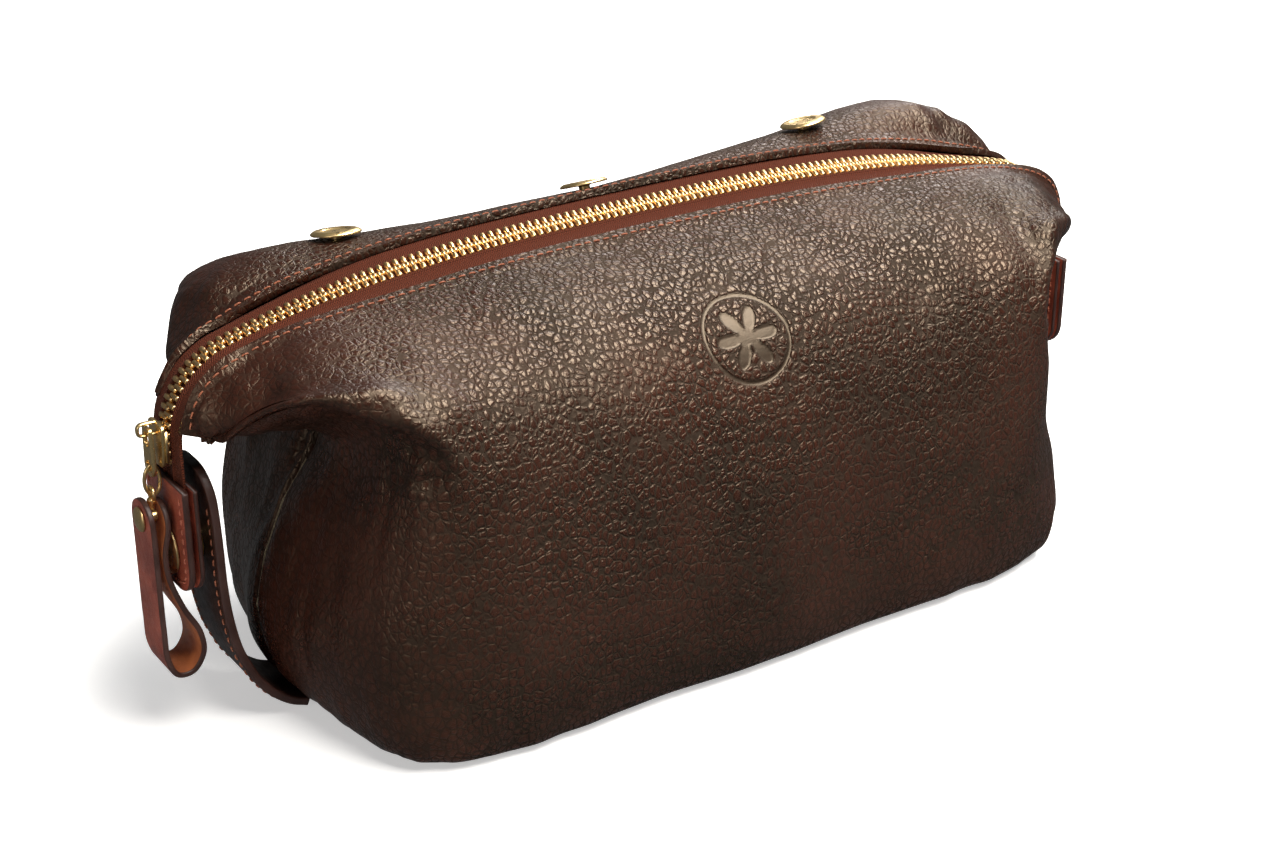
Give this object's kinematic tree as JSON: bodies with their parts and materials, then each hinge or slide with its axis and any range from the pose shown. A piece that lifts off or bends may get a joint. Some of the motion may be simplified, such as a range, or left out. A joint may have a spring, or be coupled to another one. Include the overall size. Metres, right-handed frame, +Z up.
{
  "type": "leather toiletry bag",
  "caption": "Dark brown grained leather wash bag with folded gable ends, a curved brass zip, tan end tabs and pull, and snap straps.",
  "frame": {"origin": "middle of the flat base, on the surface the bag stands on", "axes": "+X along the bag towards the end without the slider, -Y is the front, +Z up"},
  "size_m": [0.323, 0.1349, 0.1295],
  "materials": {
    "hide": "semi-gloss pebbled grain",
    "tan_leather": "smooth, semi-gloss, dark painted edges",
    "zip_tape": "woven herringbone",
    "lining": "plain woven",
    "brass": "polished"
  },
  "bodies": {
    "root": {"front_panel": "hide", "back_panel": "hide", "base_panel": "hide", "front_lining": "lining", "back_lining": "lining", "zip_tape_front": "zip_tape", "zip_tape_back": "zip_tape", "zip_teeth_front": "brass", "zip_teeth_back": "brass", "back_stud_cap_left": "brass", "back_stud_ring_left": "brass", "back_stud_cap_middle": "brass", "back_stud_ring_middle": "brass", "back_stud_cap_right": "brass", "back_stud_ring_right": "brass", "left_strap_root": "hide", "right_strap_root": "hide"},
    "slider": {"slider_body": "brass"},
    "puller": {"puller": "brass", "pull_link": "brass", "pull_eye": "brass", "pull_tab": "tan_leather", "pull_rivet": "brass"},
    "left_tail": {"left_tail_tape": "zip_tape", "left_tab_outer": "tan_leather", "left_tab_inner": "tan_leather", "left_snap_cap": "brass", "left_snap_socket": "brass"},
    "left_strap": {"left_strap_arm": "hide", "left_snap_stud": "brass"},
    "right_tail": {"right_tail_tape": "zip_tape", "right_tab_outer": "tan_leather", "right_tab_inner": "tan_leather", "right_snap_cap": "brass", "right_snap_socket": "brass"},
    "right_strap": {"right_strap_arm": "hide", "right_snap_stud": "brass"}
  },
  "joints": [
    {"name": "slider_run", "type": "hinge", "parent": "root", "child": "slider", "pos_m": [-0.1276, 0.0025, 0.0865], "axis": [0, 1, 0], "range_deg": [0, 74]},
    {"name": "puller_swing", "type": "hinge", "parent": "slider", "child": "puller", "pos_m": [-0.157, 0.0025, 0.0913], "axis": [0, 1, 0], "range_deg": [0, 55]},
    {"name": "left_tail_swing", "type": "hinge", "parent": "root", "child": "left_tail", "pos_m": [-0.1516, 0.0025, 0.0771], "axis": [0, 1, 0], "range_deg": [0, 55]},
    {"name": "right_tail_swing", "type": "hinge", "parent": "root", "child": "right_tail", "pos_m": [0.1566, 0.0025, 0.0771], "axis": [0, -1, 0], "range_deg": [0, 55]},
    {"name": "left_strap_flex", "type": "hinge", "parent": "root", "child": "left_strap", "pos_m": [-0.1388, 0.0025, 0.0177], "axis": [0, 1, 0], "range_deg": [0, 12]},
    {"name": "right_strap_flex", "type": "hinge", "parent": "root", "child": "right_strap", "pos_m": [0.1438, 0.0025, 0.0177], "axis": [0, -1, 0], "range_deg": [0, 12]}
  ],
  "couplings": [
    {"joint": "puller_swing", "follows": "left_tail_swing", "ratio": 1}
  ]
}
